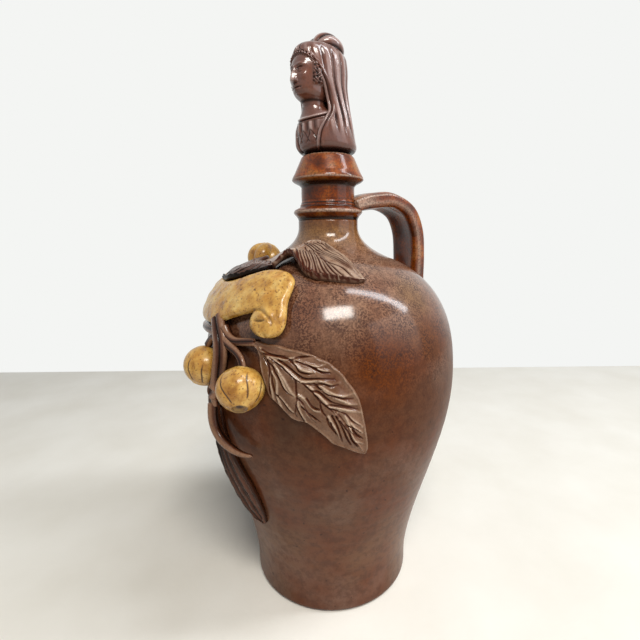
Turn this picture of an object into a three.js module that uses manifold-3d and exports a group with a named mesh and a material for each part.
// Stoneware spirit flask: a thrown vessel with a separately thrown neck, a strap handle, and applied
// leaves, fruit, branch and ribbon, closed by a cork that carries a veiled bust.
// Millimetres, +Z up. The origin is the centre of the foot, on the surface that the flask stands on.
// The middle of the ribbon faces -Y and the handle is at +Y.
// A place on the vessel is an angle round its axis (degrees from -Y towards +X) and a rise, which is
// the length along the outer wall measured up from the belly line.
import * as THREE from "three";
import { mergeVertices } from "three/addons/utils/BufferGeometryUtils.js";
import Module from "manifold-3d";

const wasm = await Module();
wasm.setup();

// Vessel wall
const footRadius = 37.6;
const footEdge = 2.5;
const bellyRadius = 60;
const bellyHeight = 103;
const shoulderHeight = 56;
const shoulderPower = 2.5;
const filletStartRadius = 31;
const neckFootRadius = 14.4;
const neckFootRise = 11;
const jointRise = 2.7;
const wallThickness = 5;
const floorThickness = 7;
const floorCorner = 6;

// Neck, collar ring and lip
const boreRadius = 9.25;
const collarRadius = 16.7;
const collarRise = 4.2;
const waistRadius = 12.9;
const waistStepRise = 3.5;
const waistStep = 0.5;
const lipRadius = 17.2;
const lipRise = 11.8;
const lipUndercut = 3.3;
const rimRadius = 12.4;
const rimRise = 11;

// Levels of the vessel and neck, each one a rise above the last
const neckFootHeight = bellyHeight + shoulderHeight + neckFootRise;
const jointHeight = neckFootHeight + jointRise;
const collarHeight = jointHeight + collarRise;
const waistStepHeight = collarHeight + waistStepRise;
const lipHeight = waistStepHeight + lipRise;
const rimHeight = lipHeight + rimRise;

// Strap handle
const strapWidth = 22;
const strapThickness = 9;
const handleReach = 49.2;
const handleSeatRise = 5.6;
const handleArch = 4.8;
const handleFootRadius = 47.4;
const handleSeatHeight = jointHeight + handleSeatRise;
const handleTopHeight = handleSeatHeight + handleArch;

// Gap that fitted pieces keep to each other, and that pressed-on sheets keep to the curved wall
const fitGap = 0.3;
const seatGap = 0.4;

// Applied work. Its lines over the wall count their rises in this length.
const courseLength = 10;
const leafThickness = 2.6;
const leafEdge = 1.2;
const leafHalfWidth = 12.4;
const leafEndHalfWidth = 0.7;
const leafPeak = 0.46;
const lowLeafHalfWidth = 11.4;
const lowLeafPeak = 0.62;
const lowLeafRise = 0.9;
const shoulderLeafPeak = 0.4;
const leftShoulderLeafHalfWidth = 7;
const leftShoulderLeafPeak = 0.5;
const rolledEdgeRise = 3;
const branchRadius = 3.2;
const stubRadius = 2.6;
const stubRise = 2.4;
const stalkRadius = 1.7;
const appleRadius = 9;
const appleFlattening = 0.91;
const calyxDepth = 1.6;
const calyxRadius = 2.6;
const ribbonHalfHeight = 8.6;
const ribbonThickness = 4.8;
const ribbonHalfAngle = 47;
const ribbonMiddleRise = 34;
const ribbonClimb = 8.5;
const ribbonDrop = 13.5;
const ribbonEndHalfWidth = 5.2;
const ribbonEndTaper = 1;
const rollRadius = 5.6;
const leafArch = 5.5;

// Stopper
const corkRadius = 9.05;
const corkTaper = 0.85;
const corkLength = 20;
const tenonRadius = 4;
const tenonLength = 10;
const bustFacing = 20;
const bustHeight = 55.1;
const bustBaseRadius = 13.9;
const bustBandHeight = 4.6;
const shoulderLine = 14;
const neckline = 20;
const chestHalfWidth = 12.5;
const chestHalfLength = 12.9;
const chestForward = 2.6;
const headForward = 10.8;
const headCentreHeight = 36.4;
const headHalfWidth = 7.8;
const headHalfLength = 9.2;
const headHalfHeight = 11.6;
const throatRadius = 5.2;
const throatForward = 8.5;
const veilHalfWidth = 10.9;
const veilHalfLength = 13.6;
const veilForward = 4.6;
const veilTop = 51;
const hoodForward = 7.2;
const veilHemHalfWidth = 14;
const knotHalfWidth = 9;
const knotHalfLength = 7;
const knotHalfHeight = 6.4;
const knotForward = 0.8;

// Facets
const turnSegments = 40;
const flankSteps = 7;
const shoulderSteps = 8;
const filletSteps = 4;
const strapSteps = 22;

const radians = THREE.MathUtils.degToRad;
const smooth = (t) => THREE.MathUtils.smoothstep(t, 0, 1);
const mix = THREE.MathUtils.lerp;

// Outer wall from the foot's edge to the joint under the neck, as radius and height.
// The flank swells by a smooth step, the shoulder is a superellipse, and a parabola runs into the neck.
function outerWall(fineness) {
  const wall = [];
  const flank = flankSteps * fineness;
  for (let i = 0; i <= flank; i++) {
    const t = i / flank;
    wall.push(new THREE.Vector2(mix(footRadius, bellyRadius, smooth(t)), mix(footEdge, bellyHeight, t)));
  }
  const power = 2 / shoulderPower;
  const lastAngle = Math.acos((filletStartRadius / bellyRadius) ** (1 / power));
  const shoulder = shoulderSteps * fineness;
  for (let i = 1; i <= shoulder; i++) {
    const angle = lastAngle * (i / shoulder) ** (1 / power);
    const height = bellyHeight + shoulderHeight * Math.sin(angle) ** power;
    wall.push(new THREE.Vector2(bellyRadius * Math.cos(angle) ** power, height));
  }
  const start = wall[wall.length - 1];
  const slopeOut = -bellyRadius * Math.cos(lastAngle) ** (power - 1) * Math.sin(lastAngle);
  const slopeUp = shoulderHeight * Math.sin(lastAngle) ** (power - 1) * Math.cos(lastAngle);
  const run = (neckFootRadius - start.x) / slopeOut;
  const corner = new THREE.Vector2(neckFootRadius, start.y + slopeUp * run);
  const end = new THREE.Vector2(neckFootRadius, neckFootHeight);
  const fillet = new THREE.QuadraticBezierCurve(start, corner, end);
  wall.push(...fillet.getPoints(filletSteps * fineness).slice(1));
  wall.push(new THREE.Vector2(neckFootRadius, jointHeight));
  return wall;
}

// The same line moved sideways by a distance, outwards if it is positive.
function offsetLine(line, distance) {
  return line.map((point, i) => {
    const before = line[Math.max(i - 1, 0)];
    const after = line[Math.min(i + 1, line.length - 1)];
    const along = after.clone().sub(before).normalize();
    return new THREE.Vector2(point.x + along.y * distance, point.y - along.x * distance);
  });
}

const tableFineness = 6;
const finest = outerWall(tableFineness);
const riseTable = [0];
for (let i = 1; i < finest.length; i++) {
  riseTable.push(riseTable[i - 1] + finest[i].distanceTo(finest[i - 1]));
}
const bellyLength = riseTable[flankSteps * tableFineness];

// Radius, height and outward direction of the wall at a rise.
function wallAt(rise) {
  const length = THREE.MathUtils.clamp(rise + bellyLength, 0, riseTable[riseTable.length - 1]);
  let i = 1;
  while (i < riseTable.length - 1 && riseTable[i] < length) i++;
  const share = (length - riseTable[i - 1]) / (riseTable[i] - riseTable[i - 1]);
  const along = finest[i].clone().sub(finest[i - 1]).normalize();
  return {
    radius: mix(finest[i - 1].x, finest[i].x, share),
    height: mix(finest[i - 1].y, finest[i].y, share),
    outX: along.y,
    outZ: -along.x,
  };
}

// Point at an angle and a rise, lifted off the wall.
function onWall(angle, rise, lift) {
  const wall = wallAt(rise);
  const radius = wall.radius + wall.outX * lift;
  const turn = radians(angle);
  return new THREE.Vector3(
    radius * Math.sin(turn),
    -radius * Math.cos(turn),
    wall.height + wall.outZ * lift,
  );
}

// Closed geometry through rings of equal count, with a fan over each end.
function loft(rings) {
  const sides = rings[0].length;
  const positions = [];
  const index = [];
  for (const ring of rings) {
    for (const point of ring) positions.push(point.x, point.y, point.z);
  }
  for (let r = 0; r < rings.length - 1; r++) {
    for (let s = 0; s < sides; s++) {
      const a = r * sides + s;
      const b = r * sides + ((s + 1) % sides);
      index.push(a, b, b + sides, a, b + sides, a + sides);
    }
  }
  for (const end of [0, rings.length - 1]) {
    const centre = new THREE.Vector3();
    rings[end].forEach((point) => centre.addScaledVector(point, 1 / sides));
    const hub = positions.length / 3;
    positions.push(centre.x, centre.y, centre.z);
    for (let s = 0; s < sides; s++) {
      const a = end * sides + s;
      const b = end * sides + ((s + 1) % sides);
      if (end === 0) index.push(hub, b, a);
      else index.push(hub, a, b);
    }
  }
  const geometry = new THREE.BufferGeometry();
  geometry.setAttribute("position", new THREE.Float32BufferAttribute(positions, 3));
  geometry.setIndex(index);
  return geometry;
}

// Solid of a closed geometry, facing out.
function solid(geometry) {
  const bare = geometry.clone();
  bare.deleteAttribute("normal");
  bare.deleteAttribute("uv");
  const merged = mergeVertices(bare, 1e-4);
  const vertProperties = new Float32Array(merged.attributes.position.array);
  const triVerts = new Uint32Array(merged.index.array);
  const made = new wasm.Manifold(new wasm.Mesh({ numProp: 3, vertProperties, triVerts }));
  if (made.volume() > 0) return made;
  for (let i = 0; i < triVerts.length; i += 3) {
    [triVerts[i + 1], triVerts[i + 2]] = [triVerts[i + 2], triVerts[i + 1]];
  }
  return new wasm.Manifold(new wasm.Mesh({ numProp: 3, vertProperties, triVerts }));
}

// Geometry of a solid's largest piece, so that a cut leaves no loose crumbs.
function geometryOf(made) {
  const pieces = made.decompose().sort((a, b) => b.volume() - a.volume());
  const mesh = pieces[0].getMesh();
  const geometry = new THREE.BufferGeometry();
  geometry.setAttribute("position", new THREE.BufferAttribute(mesh.vertProperties, 3));
  geometry.setIndex(new THREE.BufferAttribute(mesh.triVerts, 1));
  return geometry;
}

// Turned solid of a profile of radius and height.
function turned(profile, segments = turnSegments) {
  const geometry = new THREE.LatheGeometry(profile, segments);
  geometry.rotateX(Math.PI / 2);
  return geometry;
}

function radial(radius, height) {
  return new THREE.Vector2(radius, height);
}

// Vessel
function vesselProfile() {
  const outer = outerWall(1);
  const inner = offsetLine(outer, -wallThickness).filter((point, i) => {
    const between = point.y > floorThickness + floorCorner && point.y < neckFootHeight;
    return between && point.x > boreRadius && i % 2 === 1;
  });
  const floorRadius = inner[0].x - floorCorner;
  return [
    radial(0, 0),
    radial(footRadius - footEdge, 0),
    radial(footRadius - footEdge * 0.3, footEdge * 0.3),
    ...outer,
    radial(boreRadius, jointHeight),
    radial(boreRadius, neckFootHeight - 1),
    ...inner.reverse(),
    radial(floorRadius, floorThickness),
    radial(0, floorThickness),
  ];
}

function vesselEnvelope() {
  const grown = offsetLine(outerWall(1), fitGap);
  const top = grown[grown.length - 1];
  return solid(turned([radial(0, 0), radial(grown[0].x, 0), ...grown, radial(0, top.y)]));
}

// Neck: collar ring at the joint, waist, and a lip with a straight conical top
function neckOutline(grow) {
  const coneStart = lipHeight + 1.8;
  return [
    radial(collarRadius - 2.3 + grow, jointHeight + fitGap - grow),
    radial(collarRadius - 1 + grow, collarHeight - 1.2 - grow),
    radial(collarRadius + grow, collarHeight),
    radial(collarRadius - 0.8 + grow, collarHeight + 1.2 + grow),
    radial(waistRadius + waistStep + 0.4 + grow, collarHeight + 2.2 + grow),
    radial(waistRadius + waistStep + grow, waistStepHeight - 0.3 + grow),
    radial(waistRadius + grow, waistStepHeight + 0.3 + grow),
    radial(waistRadius + grow, lipHeight - lipUndercut - grow),
    radial(waistRadius + 1.3 + grow, lipHeight - 2.1 - grow),
    radial(lipRadius - 0.5 + grow, lipHeight - 0.8 - grow),
    radial(lipRadius + grow, lipHeight),
    radial(lipRadius - 0.8 + grow, coneStart),
    radial(rimRadius + 0.3 + grow, rimHeight - 0.6 + grow),
    radial(rimRadius - 0.4, rimHeight + grow),
  ];
}

function neckProfile() {
  const outer = neckOutline(0);
  const bottom = jointHeight + fitGap;
  const start = radial(boreRadius, bottom);
  return [start, ...outer, radial(boreRadius, rimHeight), start.clone()];
}

function neckEnvelope() {
  const outer = neckOutline(fitGap);
  const bottom = outer[0].y;
  return solid(turned([radial(0, bottom), ...outer, radial(0, rimHeight + fitGap)]));
}

// Height of the shoulder at a radius, from the superellipse
function shoulderAt(radius) {
  const share = 1 - (radius / bellyRadius) ** shoulderPower;
  return bellyHeight + shoulderHeight * Math.max(share, 0) ** (1 / shoulderPower);
}

// Strap handle: its centre line leaves the waist, arches and drops to the shoulder. Its ends start
// inside the neck and the wall, which cut them to their seats.
function handleSolid() {
  const inside = strapThickness / 2;
  const footHeight = shoulderAt(handleFootRadius);
  const reachAt = (share) => mix(waistRadius, handleReach, share);
  const heightAt = (share) => mix(handleTopHeight, footHeight, share);
  const point = (radius, height) => new THREE.Vector3(0, radius, height);
  const line = new THREE.CatmullRomCurve3([
    point(waistRadius - inside * 0.5, handleSeatHeight - 0.5),
    point(reachAt(0.27), mix(handleSeatHeight, handleTopHeight, 0.75)),
    point(reachAt(0.54), handleTopHeight),
    point(reachAt(0.83), heightAt(0.13)),
    point(handleReach - 0.8, heightAt(0.38)),
    point(handleReach, heightAt(0.7)),
    point(handleFootRadius + 0.8, footHeight + inside * 0.7),
    point(handleFootRadius - 0.6, footHeight - inside),
  ]);
  const rings = [];
  for (let i = 0; i <= strapSteps; i++) {
    const along = line.getTangentAt(i / strapSteps);
    const outward = new THREE.Vector3(0, -along.z, along.y);
    rings.push(strapRing(line.getPointAt(i / strapSteps), outward));
  }
  return solid(loft(rings)).subtract(vesselEnvelope()).subtract(neckEnvelope());
}

// One section of the strap: crowned outside with a groove on both sides of the crown, hollow inside.
function strapRing(centre, outward) {
  const half = strapWidth / 2;
  const deep = strapThickness / 2;
  const section = [
    [-1, -0.1],
    [-0.95, 0.32],
    [-0.82, 0.56],
    [-0.62, 0.5],
    [-0.34, 0.92],
    [0, 1],
    [0.34, 0.92],
    [0.62, 0.5],
    [0.82, 0.56],
    [0.95, 0.32],
    [1, -0.1],
    [0.92, -0.62],
    [0.7, -0.86],
    [0, -0.66],
    [-0.7, -0.86],
    [-0.92, -0.62],
  ];
  return section.map(([across, out]) => {
    const point = centre.clone().addScaledVector(outward, out * deep);
    return point.setX(across * half);
  });
}

// Line over the wall through points of angle and rise.
function wallLine(points) {
  return new THREE.CatmullRomCurve3(points.map(([angle, rise]) => new THREE.Vector3(angle, rise, 0)));
}

// The same through points of angle and rise in course lengths.
function courseLine(points) {
  return wallLine(points.map(([angle, courses]) => [angle, courses * courseLength]));
}

// Sheet laid on the wall along a line. halfWidth, over and under take the share of the length t and
// the place across u (-1 to 1); over and under are lifts above the wall.
function sheet(form, grow) {
  const { line, halfWidth, over, under, steps, columns } = form;
  const shares = Array.from({ length: steps + 1 }, (_, i) => [i / steps, 0]);
  if (grow > 0) {
    shares.unshift([0, -grow]);
    shares.push([1, grow]);
  }
  const rings = [];
  for (const [inside, extra] of shares) {
    const at = line.getPointAt(inside);
    const along = line.getTangentAt(inside);
    const metric = radians(wallAt(at.y).radius);
    const flat = new THREE.Vector2(along.x * metric, along.y).normalize();
    const ring = [];
    const place = (u, lift) => {
      const across = u * (halfWidth(inside) + grow);
      const rise = at.y + flat.x * across + flat.y * extra;
      const shift = (-flat.y * across + flat.x * extra) / radians(wallAt(rise).radius);
      return onWall(at.x + shift, rise, lift);
    };
    for (let c = 0; c <= columns; c++) {
      const u = -1 + (2 * c) / columns;
      ring.push(place(u, over(inside, u) + grow));
    }
    for (let c = columns; c >= 0; c--) {
      const u = -1 + (2 * c) / columns;
      ring.push(place(u, under(inside, u) - grow));
    }
    rings.push(ring);
  }
  return solid(loft(rings));
}

// Leaf: widest at its peak share, blunt at its stalk and pointed at its tip, thicker on the midrib.
function leaf(points, width, peak, lifted = () => 0) {
  const power = Math.log(0.5) / Math.log(peak);
  return {
    line: courseLine(points),
    halfWidth: (t) => leafEndHalfWidth + width * Math.sin(Math.PI * mix(0.03, 0.985, t) ** power) ** 0.9,
    over: (t, u) => seatGap + mix(leafThickness, leafEdge, u * u) + lifted(t, u),
    under: (t, u) => seatGap + lifted(t, u) * 0.85,
    steps: 14,
    columns: 6,
  };
}

// Stem: a half-round strip that tapers from one half width to another and stands as high as it is wide.
function stem(points, startHalf, endHalf, steps, lifted = () => 0) {
  const half = (t) => mix(startHalf, endHalf, t);
  return {
    line: courseLine(points),
    halfWidth: half,
    over: (t, u) => seatGap + half(t) * (0.5 + 1.35 * Math.sqrt(1 - 0.96 * u * u)) + lifted(t),
    under: (t) => seatGap + lifted(t) * 0.9,
    steps,
    columns: 4,
  };
}

// Round fruit, flattened along its axis, with the dimple of its calyx at the end of the axis. The
// dimple points down, turned outwards by the calyx turn, and the lift is a share of the radius.
function apple(angle, courses, lift, calyxTurn) {
  const profile = [];
  const stops = 12;
  for (let i = 0; i <= stops; i++) {
    const turn = (Math.PI * i) / stops;
    const radius = appleRadius * Math.sin(turn);
    const dip = i < stops / 2 ? calyxDepth * Math.exp(-((radius / calyxRadius) ** 2)) : 0;
    profile.push(radial(radius, dip - appleRadius * appleFlattening * Math.cos(turn)));
  }
  profile[0].x = 0;
  profile[stops].x = 0;
  const geometry = turned(profile, 18);
  geometry.rotateX(radians(-calyxTurn));
  geometry.rotateZ(radians(angle));
  const centre = onWall(angle, courses * courseLength, lift * appleRadius);
  geometry.translate(centre.x, centre.y, centre.z);
  return solid(geometry);
}

// Ribbon: lowest near the middle, climbing to both ends, which bend down and roll inwards
function ribbonForm() {
  const points = [];
  const stops = 8;
  for (let i = 0; i <= stops; i++) {
    const share = -1 + (2 * i) / stops;
    points.push([share * (ribbonHalfAngle - 3), ribbonMiddleRise + ribbonClimb * share * share]);
  }
  return {
    line: wallLine(points),
    halfWidth: () => ribbonHalfHeight,
    over: (t, u) => seatGap + ribbonThickness - 1.1 * u ** 4,
    under: () => seatGap,
    steps: 22,
    columns: 4,
  };
}

// Hanging end of the ribbon with its roll, on one side of the front.
function ribbonEnd(side, grow) {
  const rollAngle = side * (ribbonHalfAngle - 6.2);
  const endRise = ribbonMiddleRise + ribbonClimb;
  const rollRise = endRise - ribbonDrop;
  const drop = {
    line: wallLine([
      [side * (ribbonHalfAngle - 4), endRise + 3.5],
      [side * (ribbonHalfAngle - 3.2), endRise - 4],
      [side * (ribbonHalfAngle - 5), rollRise + 1],
    ]),
    halfWidth: (t) => ribbonEndHalfWidth - ribbonEndTaper * t,
    over: (t, u) => seatGap + ribbonThickness - 0.9 * u ** 4,
    under: () => seatGap,
    steps: 5,
    columns: 4,
  };
  const centre = onWall(rollAngle, rollRise, seatGap);
  const out = onWall(rollAngle, rollRise, seatGap + 1).sub(centre);
  const tall = ribbonThickness + 0.6;
  const outerEnd = rollRadius - 0.6 + grow;
  const roll = new THREE.CylinderGeometry(outerEnd, rollRadius + grow, tall + 2 * grow, 20);
  roll.translate(0, tall / 2, 0);
  roll.applyQuaternion(new THREE.Quaternion().setFromUnitVectors(new THREE.Vector3(0, 1, 0), out));
  roll.translate(centre.x, centre.y, centre.z);
  return sheet(drop, grow).add(solid(roll));
}

function ribbonSolid(grow) {
  return sheet(ribbonForm(), grow).add(ribbonEnd(1, grow)).add(ribbonEnd(-1, grow));
}

// Ellipse of the bust at a height: half width, half length, and how far forward its centre lies.
function oval(height, halfWidth, halfLength, forward, sides = 24) {
  const ring = [];
  for (let s = 0; s < sides; s++) {
    const turn = (2 * Math.PI * s) / sides;
    const depth = forward + halfLength * Math.cos(turn);
    ring.push(new THREE.Vector3(halfWidth * Math.sin(turn), -depth, height));
  }
  return ring;
}

// Torso: plain band, chest and sloping shoulders, with the tenon that the cork takes
function torsoSolid(grow) {
  const base = bustBaseRadius + grow;
  const width = chestHalfWidth + grow;
  const length = chestHalfLength + grow;
  const top = neckline + grow;
  const slope = neckline - shoulderLine;
  const rings = [
    oval(-grow, base - 0.9, base - 0.9, 0),
    oval(0.9, base, base, 0),
    oval(bustBandHeight + grow, base, base, 0.2),
    oval(bustBandHeight + 0.5 + grow, width, length, chestForward * 0.8),
    oval(mix(bustBandHeight, shoulderLine, 0.6), width - 0.2, length - 0.2, chestForward),
    oval(shoulderLine, width - 1, length - 0.8, chestForward * 1.2),
    oval(shoulderLine + slope * 0.58, width * 0.76, length * 0.78, chestForward * 1.7),
    oval(top, throatRadius + 1.8 + grow, throatRadius + 2 + grow, throatForward),
  ];
  const tenonLine = [
    radial(0, -tenonLength),
    radial(tenonRadius, -tenonLength),
    radial(tenonRadius, 1),
    radial(0, 1),
  ];
  const tenon = turned(tenonLine, 24);
  return solid(loft(rings)).add(solid(tenon));
}

// Head: an ellipsoid with a calm, general face, its features given as soft swellings and hollows
function swelling(longitude, latitude, atLongitude, atLatitude, wide, tall) {
  const across = (Math.abs(longitude) - atLongitude) / wide;
  const up = (latitude - atLatitude) / tall;
  return Math.exp(-(across * across + up * up));
}

function headSolid(grow) {
  const rows = 14;
  const sides = 26;
  const rings = [];
  for (let r = 0; r <= rows; r++) {
    const latitude = mix(-88, 88, r / rows);
    const ring = [];
    for (let s = 0; s < sides; s++) {
      const longitude = (360 * s) / sides > 180 ? (360 * s) / sides - 360 : (360 * s) / sides;
      const nose = 0.13 * swelling(longitude, latitude, 0, -8, 9, 13);
      const chin = 0.08 * swelling(longitude, latitude, 0, -52, 24, 14);
      const lips = 0.04 * swelling(longitude, latitude, 0, -31, 16, 6);
      const brow = 0.03 * swelling(longitude, latitude, 16, 17, 18, 7);
      const eyes = -0.05 * swelling(longitude, latitude, 21, 5, 11, 8);
      const jaw = latitude < 0 ? 1 - 0.1 * Math.sin(radians(-latitude)) : 1;
      const swell = 1 + nose + chin + lips + brow + eyes;
      const flat = Math.cos(radians(latitude));
      ring.push(
        new THREE.Vector3(
          (headHalfWidth * swell * jaw + grow) * flat * Math.sin(radians(longitude)),
          -headForward - (headHalfLength * swell + grow) * flat * Math.cos(radians(longitude)),
          headCentreHeight + (headHalfHeight + grow) * Math.sin(radians(latitude)),
        ),
      );
    }
    rings.push(ring);
  }
  const throat = throatRadius + grow;
  const throatRings = [
    oval(neckline + fitGap - grow, throat + 0.9, throat + 0.9, throatForward, 16),
    oval(neckline + 2.5, throat, throat, throatForward + 0.5, 16),
    oval(headCentreHeight - headHalfHeight * 0.45, throat, throat + 0.4, headForward - 1.4, 16),
  ];
  return solid(loft(rings)).add(solid(loft(throatRings)));
}

// Veil: a hood that falls to the band, open in front from the hem to the crown, with its knot on top
function veilSolid() {
  const hem = bustBandHeight + fitGap * 2;
  const head = headCentreHeight;
  const hood = (up, size, lean) => {
    const forward = mix(veilForward, hoodForward, lean);
    return oval(mix(head, veilTop, up), veilHalfWidth * size, veilHalfLength * size, forward);
  };
  const rings = [
    oval(hem, veilHemHalfWidth, veilHemHalfWidth - 0.2, 1),
    oval(mix(hem, shoulderLine, 0.55), veilHemHalfWidth - 0.5, veilHemHalfWidth - 0.8, 1.6),
    oval(shoulderLine + 2, veilHemHalfWidth - 1.4, veilHemHalfWidth - 1.7, 1.8),
    oval(neckline + 2.5, mix(veilHemHalfWidth, veilHalfWidth, 0.85), veilHalfLength - 1.4, 2.6),
    oval(mix(neckline, head, 0.6), veilHalfWidth, veilHalfLength - 0.4, veilForward - 0.4),
    oval(head + 1, veilHalfWidth, veilHalfLength, veilForward),
    hood(0.45, 0.96, 0.4),
    hood(0.75, 0.82, 0.8),
    hood(0.93, 0.56, 1),
    hood(1, 0.2, 1),
  ];
  const knot = new THREE.SphereGeometry(1, 16, 10);
  knot.rotateX(Math.PI / 2);
  knot.scale(knotHalfWidth, knotHalfLength, knotHalfHeight);
  knot.translate(0, -knotForward, bustHeight - knotHalfHeight);
  return solid(loft(rings))
    .add(solid(knot))
    .subtract(torsoSolid(fitGap))
    .subtract(headSolid(fitGap))
    .subtract(veilOpening());
}

// Space that the veil leaves open: a wedge over the chest that widens upwards, then round the face.
function veilOpening() {
  const far = 40;
  const slice = (height, halfInside, forwardInside, halfAngle) => {
    const spread = halfInside + (far - forwardInside) * Math.tan(radians(halfAngle));
    return [
      new THREE.Vector3(-halfInside, -forwardInside, height),
      new THREE.Vector3(-spread, -far, height),
      new THREE.Vector3(spread, -far, height),
      new THREE.Vector3(halfInside, -forwardInside, height),
    ];
  };
  const hem = bustBandHeight;
  const crown = headCentreHeight + headHalfHeight;
  return solid(
    loft([
      slice(hem - 1, 0.6, 0, 30),
      slice(shoulderLine, 2, 1, 48),
      slice(neckline + 2, 4, 3, 62),
      slice(headCentreHeight - headHalfHeight * 0.5, 6, veilForward + 3, 60),
      slice(headCentreHeight + 2, headHalfWidth - 0.6, headForward - 1, 35),
      slice(crown - 4.5, headHalfWidth - 2.6, headForward + 2.2, 12),
      slice(crown - 2.4, 1.5, headForward + 5, 4),
    ]),
  );
}

// Cork: tapered plug with the blind hole that the tenon stands in
function corkProfile() {
  const bottom = rimHeight - corkLength;
  const holeRadius = tenonRadius + fitGap;
  const holeBottom = rimHeight - tenonLength;
  return [
    radial(0, bottom),
    radial(corkRadius - corkTaper - 0.5, bottom),
    radial(corkRadius - corkTaper, bottom + 0.6),
    radial(corkRadius, rimHeight - 1.5),
    radial(corkRadius - 0.3, rimHeight),
    radial(holeRadius, rimHeight),
    radial(holeRadius, holeBottom),
    radial(0, holeBottom),
  ];
}

function material(colour, roughness, metalness = 0) {
  return new THREE.MeshStandardMaterial({ color: colour, roughness, metalness });
}

const saltGlaze = () => material(0x5b3a30, 0.3);
const leafGlaze = () => material(0x5a4038, 0.4);
const ochreGlaze = () => material(0xb98d4c, 0.35);
const bustGlaze = () => material(0x6a4a42, 0.4);

const part = new THREE.Group();

function add(name, geometry, look, parent = part) {
  const mesh = new THREE.Mesh(geometry, look);
  mesh.name = name;
  parent.add(mesh);
  return mesh;
}

add("thrown_body", turned(vesselProfile()), saltGlaze());
add("neck_and_lip", turned(neckProfile()), saltGlaze());
add("strap_handle", geometryOf(handleSolid()), saltGlaze());

// Applied work, listed from the wall outwards: each piece is cut by the grown form of those below it.
// Its lines are points of angle and of rise in course lengths.
const sideLeafPoints = (side) => [
  [side * 36, 2.15],
  [side * 45.5, 1.7],
  [side * 58.7, 0.53],
  [side * 70.2, -0.78],
  [side * 79.5, -2],
];
const rightShoulderLeafPoints = [
  [24, 6.25],
  [38, 6.4],
  [52, 6.2],
  [68, 5.6],
  [83, 4.68],
];
const leftShoulderLeafPoints = [
  [19, 5.95],
  [8, 5.38],
  [-7, 5.22],
  [-23, 5.5],
  [-40, 6.15],
];
const lowLeafPoints = [
  [17, -0.6],
  [12.5, -2.2],
  [13.5, -4],
  [19, -5.4],
  [26.9, -6.3],
];
const branchPoints = [
  [15.5, 3.1],
  [18.5, 2.4],
  [21.4, 1.4],
  [20.6, 0.4],
  [18, -0.5],
];
const stubPoints = [
  [18, -0.7],
  [20, -1.25],
  [25, -1.73],
  [30.5, -1.93],
  [36, -1.98],
];
const leafStalkPoints = (side, start) => [
  [start, 2.3],
  [side * 26, 2.08],
  [side * 31, 2.13],
  [side * 36.5, 2.16],
];
const frontAppleStalkPoints = [
  [24.5, 1.95],
  [28.5, 1.74],
  [32, 1.4],
];
const leftAppleStalkPoints = [
  [17, 2.1],
  [12, 2.04],
  [8.5, 1.8],
];
const upperAppleStalkPoints = [
  [-41, 4.9],
  [-48, 4.95],
  [-54, 5],
];
const arch = (t) => leafArch * Math.exp(-(((t - 0.06) / 0.16) ** 2));
const rolledEdge = (t, u) => arch(t) + rolledEdgeRise * Math.sin(Math.PI * t) * ((1 + u) / 2) ** 2;
const lowLeafLift = (t) => lowLeafRise * Math.sin(Math.PI * t);
const stubLift = (t) => stubRise * Math.sin(Math.PI * t * 0.9);
const stalk = (points, steps) => stem(points, stalkRadius, stalkRadius * 0.9, steps);
const applied = [
  ["leaf_right", leaf(sideLeafPoints(1), leafHalfWidth, leafPeak)],
  ["leaf_left", leaf(sideLeafPoints(-1), leafHalfWidth, leafPeak)],
  ["leaf_low", leaf(lowLeafPoints, lowLeafHalfWidth, lowLeafPeak, lowLeafLift)],
  ["leaf_shoulder_right", leaf(rightShoulderLeafPoints, leafHalfWidth, shoulderLeafPeak, arch)],
  [
    "leaf_shoulder_left",
    leaf(leftShoulderLeafPoints, leftShoulderLeafHalfWidth, leftShoulderLeafPeak, rolledEdge),
  ],
  ["branch", stem(branchPoints, branchRadius, branchRadius * 0.9, 9)],
  ["branch_stub", stem(stubPoints, stubRadius, stubRadius * 0.45, 9, stubLift)],
  ["stalk_leaf_right", stalk(leafStalkPoints(1, 22.5), 5)],
  ["stalk_leaf_left", stalk(leafStalkPoints(-1, 17), 12)],
  ["stalk_apple_front", stalk(frontAppleStalkPoints, 4)],
  ["stalk_apple_left", stalk(leftAppleStalkPoints, 4)],
  ["stalk_apple_upper", stalk(upperAppleStalkPoints, 4)],
];

let below = applied.reduce((sum, [name, form], place) => {
  const shape = sheet(form, 0);
  add(name, place ? geometryOf(shape.subtract(sum)) : geometryOf(shape), leafGlaze());
  return sum ? sum.add(shape).add(sheet(form, fitGap)) : shape.add(sheet(form, fitGap));
}, null);
add("scroll_banner", geometryOf(ribbonSolid(0).subtract(below)), ochreGlaze());
below = below.add(ribbonSolid(fitGap)).add(vesselEnvelope()).add(neckEnvelope());
for (const [name, angle, courses, lift, turn] of [
  ["apple_front", 34.1, 0.58, 0.49, 20],
  ["apple_left", 9, 0.89, 0.33, 20],
  ["apple_upper", -59.2, 5.39, 0.56, 210],
]) {
  add(name, geometryOf(apple(angle, courses, lift, turn).subtract(below)), ochreGlaze());
}

add("cork_plug", turned(corkProfile(), 32), material(0xb58a5a, 0.9));

const bust = new THREE.Group();
bust.position.set(0, 0, rimHeight + fitGap);
bust.rotation.z = radians(bustFacing);
part.add(bust);
add("bust_torso", geometryOf(torsoSolid(0)), bustGlaze(), bust);
add("bust_head", geometryOf(headSolid(0)), bustGlaze(), bust);
add("bust_veil", geometryOf(veilSolid()), bustGlaze(), bust);

export default part;
